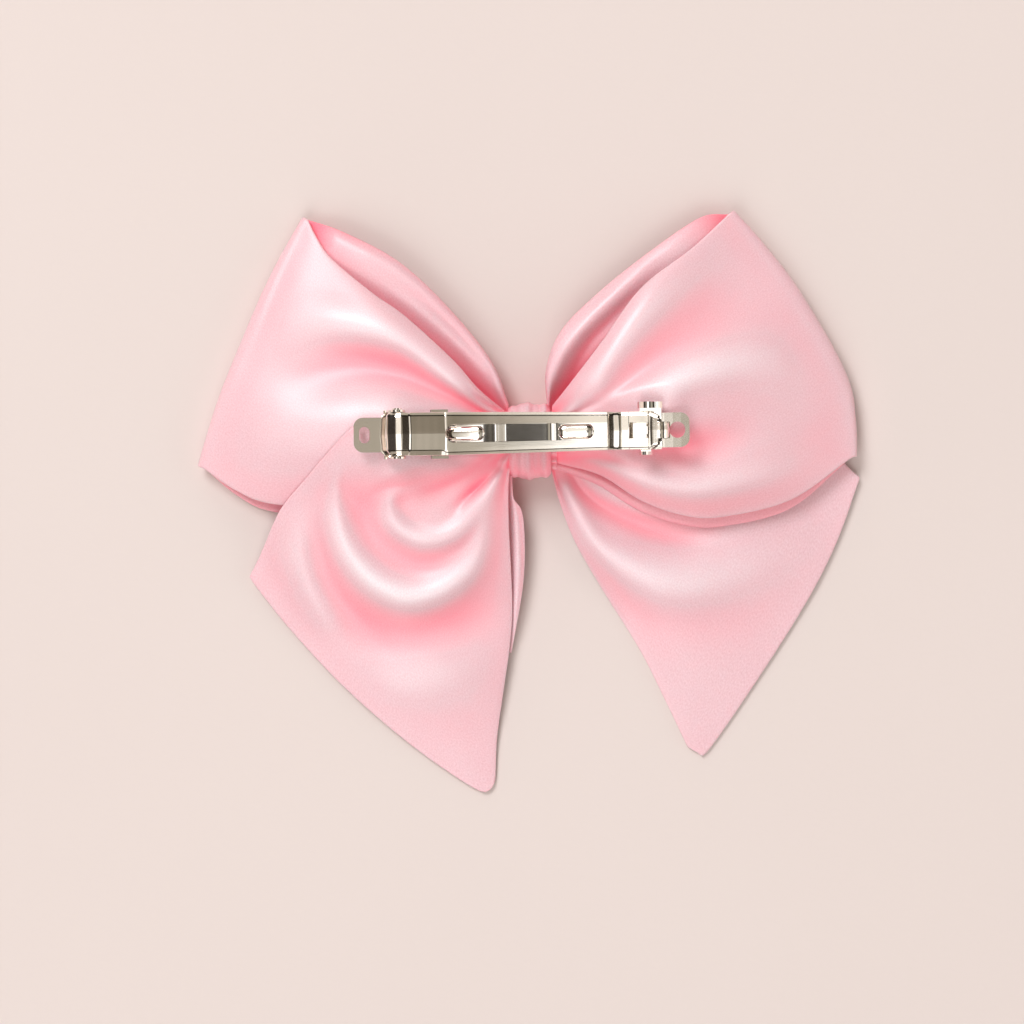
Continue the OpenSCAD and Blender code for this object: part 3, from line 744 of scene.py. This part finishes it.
def nickel_finish(name, tint, rough, scratch):
    """Bright plating, drawn along the clip and slightly clouded."""
    made, field, shader = finish_of(name, Metallic=1.0)
    place = field.node("ShaderNodeTexCoord", output=3)
    along = field.node("ShaderNodeMapping", {0: place, "Scale": (300, 5200, 5200)})
    drawn = field.node("ShaderNodeTexNoise", {"Vector": along, "Scale": 1.0, "Detail": 3})
    cloud = field.node("ShaderNodeTexNoise", {"Vector": place, "Scale": 160, "Detail": 4})
    pale = tuple(min(1, c * 1.12) for c in tint)
    feed(cloud.blend((*tint, 1), (*pale, 1)), shader, "Base Color")
    feed(rough + drawn * 0.08 + cloud * 0.06, shader, "Roughness")
    relief = field.node("ShaderNodeBump", {"Strength": scratch, "Distance": 0.00002, "Height": drawn})
    feed(relief, shader, "Normal")
    return made


def ease_edges(piece, width=0.12):
    """Rounds a metal piece's sharp edges, by a width in millimetres."""
    bevel = piece.modifiers.new("edges", "BEVEL")
    bevel.width = width * MM
    bevel.segments = 2
    bevel.limit_method = "ANGLE"
    bevel.angle_limit = math.radians(35)
    bevel.harden_normals = True


nickel = nickel_finish("nickel", (0.82, 0.77, 0.71), 0.05, 0.2)
spring_steel = nickel_finish("spring_steel", (0.84, 0.80, 0.75), 0.03, 0.2)
for node, finish, slot in (
    ("base_plate", nickel, "nickel_plate"),
    ("hinge_pin", nickel, "nickel_plate"),
    ("latch_rivet", nickel, "nickel_plate"),
    ("latch_bridge", spring_steel, "spring_steel"),
    ("release_prong_upper", spring_steel, "spring_steel"),
    ("release_prong_lower", spring_steel, "spring_steel"),
):
    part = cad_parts[node]
    part.data.materials.clear()
    part.data.materials.append(finish)
    ease_edges(part)

# ---------------------------------------------------------------- clasp arm
# One strip of steel: rolled round the pin, humped behind it, cut with a long window, stepped down
# to the catch and curled up at its lip. Its long edges are turned down, with a wide soft shoulder.


def on_plate(s, y, h):
    """Points s along, y across and h above the curved plate, in millimetres."""
    reach = plate_bend - h
    x = clip_middle[0] + reach * np.sin(s / plate_bend)
    z = clip_above + plate_bend - reach * np.cos(s / plate_bend)
    return np.stack(np.broadcast_arrays(x, clip_middle[1] + y, z), axis=-1)


def stamped(name, sheet, thick, finish, keep=None, edge=0.12):
    """A sheet-metal piece from its outer face; keep says which of its squares are there."""
    quads = squares(sheet)
    quads = quads[keep] if keep is not None else quads.reshape(-1, 4)
    piece = mesh_piece(name, sheet.reshape(-1, 3) * MM, quads.tolist(), finish)
    solid = piece.modifiers.new("thickness", "SOLIDIFY")
    solid.thickness, solid.offset = thick * MM, -1
    ease_edges(piece, edge)
    return piece


def along(s, stops):
    """Values at s, straight between stops along the strip."""
    return np.interp(s, [p for p, _ in stops], [v for _, v in stops])


def shoulder(half, gap, skirt, flat_wide, wide=1.5, small=0.3, tilt=math.radians(38)):
    """One side of a turned-down section, as distances across and down from the web's middle."""
    first = [(wide * math.sin(a), wide * (1 - math.cos(a))) for a in np.linspace(0.08, tilt, 7)]
    first = [(a - first[0][0], b - first[0][1]) for a, b in first]
    slope = (flat_wide * math.cos(tilt), flat_wide * math.sin(tilt))
    second = [
        (small * (math.sin(a) - math.sin(tilt)), small * (math.cos(tilt) - math.cos(a)))
        for a in np.linspace(tilt, math.pi / 2, 5)
    ]
    turn = first + [(first[-1][0] + slope[0] + a, first[-1][1] + slope[1] + b) for a, b in second]
    run, fall = turn[-1]
    squeeze = min(1, skirt / fall)
    start = half - run
    droop = 0.08                 # how much the flat of the web falls towards the shoulder
    profile = [(gap + (start - gap) * t, droop * (start - gap) * t) for t in (0, 0.33, 0.67)]
    down = droop * (start - gap)
    profile += [(start + a, down + b * squeeze) for a, b in turn]
    return profile + [(half, down + fall * squeeze + max(0, skirt - fall) * t) for t in (0.5, 1)]


arm_line = curve([
    (-32.0, 1.55), (-32.8, 2.4), (-33.1, 3.3), (-32.95, 4.1), (-32.4, 4.62), (-31.7, 5.08), (-31.0, 5.52),
    (-30.5, 5.72), (-30.0, 5.88), (-29.6, 6.0), (-29.3, 6.02), (-28.9, 5.97), (-28.2, 5.87),
    (-27.55, 5.77), (-27.2, 5.66), (-26.95, 5.6), (-26.5, 5.585), (-25.6, 5.57), (-24.6, 5.5),
    (-23.6, 5.45), (-22.6, 5.37), (-21.4, 5.31), (-20, 5.22), (-17, 5.14), (-12, 5.22), (-5, 5.4),
    (2, 5.4), (9, 5.2), (16, 4.85), (20.4, 4.58), (21.1, 4.5), (21.4, 4.4), (21.9, 4.14), (22.4, 3.86),
    (22.7, 3.65), (23.5, 3.03), (23.9, 2.84), (24.2, 2.8), (24.8, 2.8), (28, 2.8), (30.2, 2.8),
    (30.9, 2.7), (31.5, 2.78), (32.4, 2.8),
], 480)
roll_rows = 60                   # rows of the rolled end, where nothing is cut out
lip_from = len(arm_line) + 1     # the first row with the lip's narrow section
lip_radius = 2.35
before_lip = [(32.75, 2.8), (32.78, 2.8)]
lip = [
    (33.0 + lip_radius * math.cos(a), 0.45 + lip_radius * math.sin(a))
    for a in np.radians(np.arange(88, 8, -5))
]
arm_line = np.vstack([arm_line, before_lip, lip])
arm_s = arm_line[:, 0]
toward = np.gradient(arm_line, axis=0)
toward /= np.linalg.norm(toward, axis=1)[:, None]
arm_up = np.stack([-toward[:, 1], toward[:, 0]], axis=1)
row = np.arange(len(arm_s))
is_lip = row >= lip_from
arm_half = np.where(is_lip, 1.95, along(arm_s, [(-18, 5.1), (21.4, 4.5), (31, 4.5), (32.75, 3.4)]))
window_from, window_to = -18.6, 21.2
window = (arm_s > window_from) & (arm_s < window_to) & (row > roll_rows)
catch = (arm_s > 25.9) & (arm_s < 30.8)
window_round = 2.2               # radius of the window's rounded end
inward = np.clip(window_from + window_round - arm_s, 0, window_round)
round_end = np.sqrt(np.clip(window_round**2 - inward**2, 0, None)) - window_round
seam = 0.04                      # half the width of the middle strip where nothing is cut out
window_half = along(arm_s, [(window_from, window_round), (21, 1.95)]) + round_end
arm_gap = np.maximum(np.where(window, window_half, np.where(catch, 1.9, seam)), seam)
skirt_depth = along(arm_s, [(-28, 2.2), (-24, 1.7), (21, 1.7), (24, 1.2), (30, 1.1), (32.5, 0.2)])
arm_skirt = np.where(is_lip, 0.05, skirt_depth)
low_wide = along(arm_s, [(-33, 1.1), (-19.5, 1.0), (-18, 0.3), (21, 0.3), (24, 0.1)])
high_wide = along(arm_s, [(-33, 0.3), (21, 0.3), (24, 0.15)])
arm_rows = []
for i in row:
    low_side = shoulder(arm_half[i], arm_gap[i], arm_skirt[i], 0 if is_lip[i] else low_wide[i])
    high_side = shoulder(arm_half[i], arm_gap[i], arm_skirt[i], 0 if is_lip[i] else high_wide[i])
    section = np.array([(-y, d) for y, d in reversed(low_side)] + high_side)
    s_h = arm_line[i] - section[:, 1:] * arm_up[i]
    arm_rows.append(on_plate(s_h[:, 0], section[:, 0], s_h[:, 1]))
arm_sheet = np.array(arm_rows)
arm_keep = np.ones((len(row) - 1, arm_sheet.shape[1] - 1), bool)
is_open = (window | catch) & ~is_lip
arm_keep[is_open[:-1] & is_open[1:], arm_sheet.shape[1] // 2 - 1] = False
arm = stamped("clasp_arm_steel", arm_sheet, 0.45, nickel, arm_keep)
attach(arm, "arm")
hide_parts("clasp_arm")

# ---------------------------------------------------------------- leaf spring
# A strip of spring steel with two embossed stiffening ribs. Its cross head is held under the
# plate's lugs, and it rises through the arm's window.
leaf_line = curve([
    (-21.2, 0.55), (-19.6, 0.6), (-18.9, 1.0), (-17, 2.0), (-12.5, 3.4), (-9.4, 4.05), (-6.6, 4.15),
    (-5.8, 4.3), (-4.1, 4.72), (-3.6, 4.78), (0, 4.82), (5, 4.8), (6.8, 4.72), (7.9, 4.2), (8.7, 3.82),
    (9.6, 3.72), (16, 3.68), (20.8, 3.66),
], 240)
leaf_across = np.linspace(-1, 1, 33)


def emboss(s, y, ends, wide=1.75, high=0.62):
    """A pill-shaped rib between two ends."""
    past = np.maximum(np.abs(s - sum(ends) / 2) - (ends[1] - ends[0]) / 2 + wide, 0)
    return high * np.sqrt(np.clip(1 - (past / wide) ** 2 - (y / wide) ** 2, 0, 1))


leaf_s, leaf_h = leaf_line[:, :1], leaf_line[:, 1:]
leaf_half = along(leaf_s, [(-19.5, 5.3), (-19.3, 2.0)])
leaf_y = leaf_across[None, :] * leaf_half
leaf_rise = emboss(leaf_s, leaf_y, (-18.4, -9.1)) + emboss(leaf_s, leaf_y, (9.0, 17.4))
leaf_sheet = on_plate(leaf_s, leaf_y, leaf_h + leaf_rise)
leaf = stamped("leaf_spring_steel", leaf_sheet, 0.35, spring_steel, edge=0.06)
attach(leaf, "leaf")
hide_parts("leaf_spring")

# ---------------------------------------------------------------- glue and thread
# A flattened line of clear hot glue holds the wrap to the plate, and a few turns of polyester thread
# bind the gathers under the wrap.
glue, field, shader = finish_of("hot_glue", Roughness=0.3, Transmission_Weight=0.35, IOR=1.48)
place = field.node("ShaderNodeTexCoord", output=3)
cloudy = field.node("ShaderNodeTexNoise", {"Vector": place, "Scale": 700, "Detail": 3})
feed(cloudy.blend((0.80, 0.76, 0.66, 1), (0.9, 0.87, 0.8, 1)), shader, "Base Color")
thread_finish, field, shader = finish_of("pink_thread", Roughness=0.6)
place = field.node("ShaderNodeTexCoord", output=3)
turns = field.node("ShaderNodeTexNoise", {"Vector": place, "Scale": 2400, "Detail": 2})
feed(turns.blend((0.72, 0.22, 0.32, 1), (0.86, 0.36, 0.46, 1)), shader, "Base Color")
for node, finish, slot in (("glue_pad", glue, "hot_glue"), ("gather_thread", thread_finish, "pink_thread")):
    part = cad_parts[node]
    part.data.materials.clear()
    part.data.materials.append(finish)
